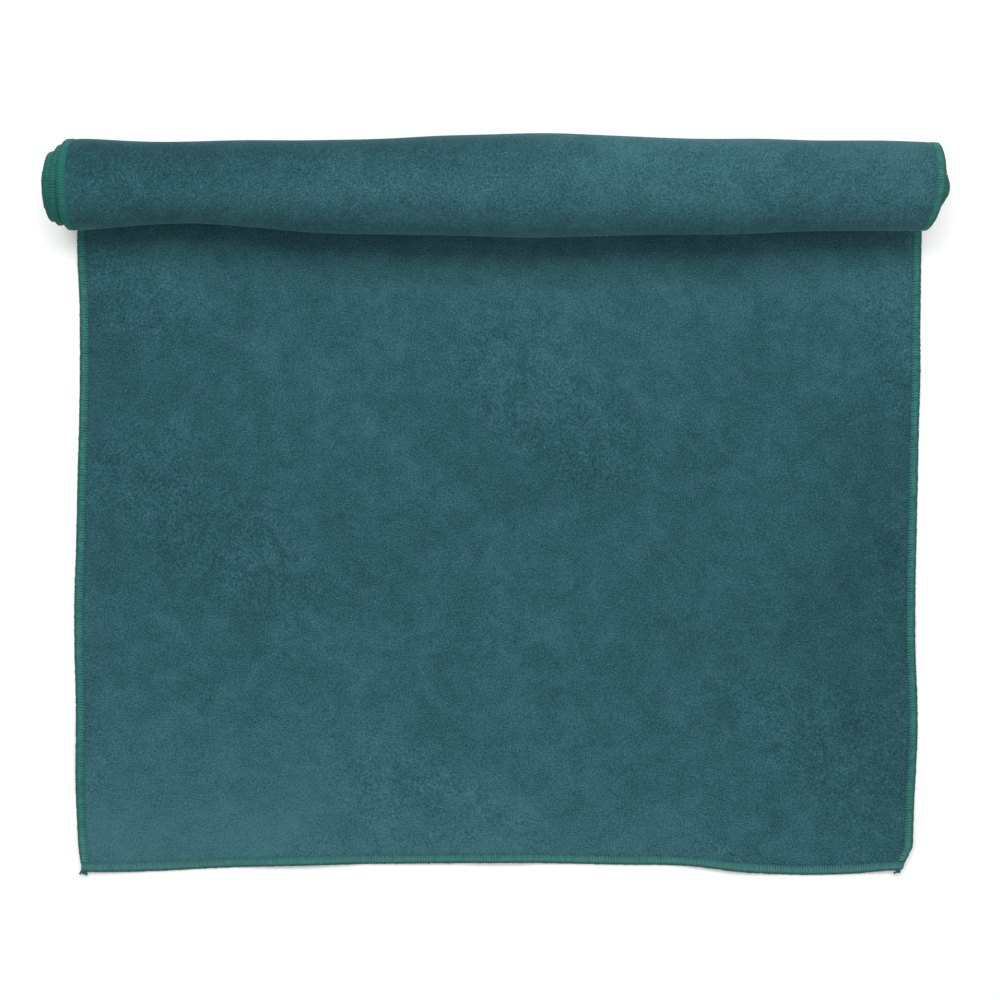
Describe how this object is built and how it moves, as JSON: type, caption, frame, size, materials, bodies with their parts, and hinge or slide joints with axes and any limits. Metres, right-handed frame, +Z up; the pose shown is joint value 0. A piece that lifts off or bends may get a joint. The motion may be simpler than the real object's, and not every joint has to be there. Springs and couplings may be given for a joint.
{
  "type": "quick dry towel",
  "caption": "Napped microfibre travel towel with overlocked edges, lying open at one end and rolled up at the other.",
  "frame": {"origin": "under the middle of the whole towel's box, on the surface that it lies on", "axes": "+X along the roll, to the right of someone who sits at the open hem; +Y from the open hem towards the roll; +Z up"},
  "size_m": [0.713, 0.6074, 0.0759],
  "materials": {
    "napped_cloth": "matte",
    "seam_thread": "matte"
  },
  "bodies": {
    "flat_sheet": {"sheet_cloth": "napped_cloth", "sheet_left_lower_looper_thread": "seam_thread", "sheet_left_needle_thread": "seam_thread", "sheet_left_upper_looper_thread": "seam_thread", "sheet_right_lower_looper_thread": "seam_thread", "sheet_right_needle_thread": "seam_thread", "sheet_right_upper_looper_thread": "seam_thread", "front_hem_lower_looper_thread": "seam_thread", "front_hem_needle_thread": "seam_thread", "front_hem_upper_looper_thread": "seam_thread", "front_left_thread_tail": "seam_thread", "front_right_thread_tail": "seam_thread"},
    "outer_turn": {"outer_turn_cloth": "napped_cloth", "outer_turn_left_lower_looper_thread": "seam_thread", "outer_turn_left_needle_thread": "seam_thread", "outer_turn_left_upper_looper_thread": "seam_thread", "outer_turn_right_lower_looper_thread": "seam_thread", "outer_turn_right_needle_thread": "seam_thread", "outer_turn_right_upper_looper_thread": "seam_thread"},
    "middle_turns": {"middle_turns_cloth_1": "napped_cloth", "middle_turns_cloth_2": "napped_cloth", "middle_turns_cloth_3": "napped_cloth", "middle_turns_cloth_4": "napped_cloth", "middle_turns_cloth_5": "napped_cloth", "middle_turns_left_lower_looper_thread": "seam_thread", "middle_turns_left_needle_thread": "seam_thread", "middle_turns_left_upper_looper_thread": "seam_thread", "middle_turns_right_lower_looper_thread": "seam_thread", "middle_turns_right_needle_thread": "seam_thread", "middle_turns_right_upper_looper_thread": "seam_thread"},
    "inner_turns": {"inner_turns_cloth_1": "napped_cloth", "inner_turns_cloth_2": "napped_cloth", "inner_turns_cloth_3": "napped_cloth", "inner_turns_cloth_4": "napped_cloth", "inner_turns_cloth_5": "napped_cloth", "inner_turns_left_lower_looper_thread": "seam_thread", "inner_turns_left_needle_thread": "seam_thread", "inner_turns_left_upper_looper_thread": "seam_thread", "inner_turns_right_lower_looper_thread": "seam_thread", "inner_turns_right_needle_thread": "seam_thread", "inner_turns_right_upper_looper_thread": "seam_thread", "inner_hem_lower_looper_thread": "seam_thread", "inner_hem_needle_thread": "seam_thread", "inner_hem_upper_looper_thread": "seam_thread", "inner_left_thread_tail": "seam_thread", "inner_right_thread_tail": "seam_thread"}
  },
  "joints": [
    {"name": "roll_travel", "type": "slide", "parent": "flat_sheet", "child": "outer_turn", "axis": [0, -1, 0], "range_m": [0, 0.4624]},
    {"name": "roll_turn", "type": "hinge", "parent": "outer_turn", "child": "middle_turns", "pos_m": [0, 0.26588, 0.038], "axis": [1, 0, 0], "range_deg": [0, 720]},
    {"name": "roll_telescope", "type": "slide", "parent": "middle_turns", "child": "inner_turns", "axis": [1, 0, 0], "range_m": [-0.03, 0.03]}
  ],
  "couplings": [
    {"joint": "roll_turn", "follows": "roll_travel", "rad_per_m": 27.174}
  ]
}
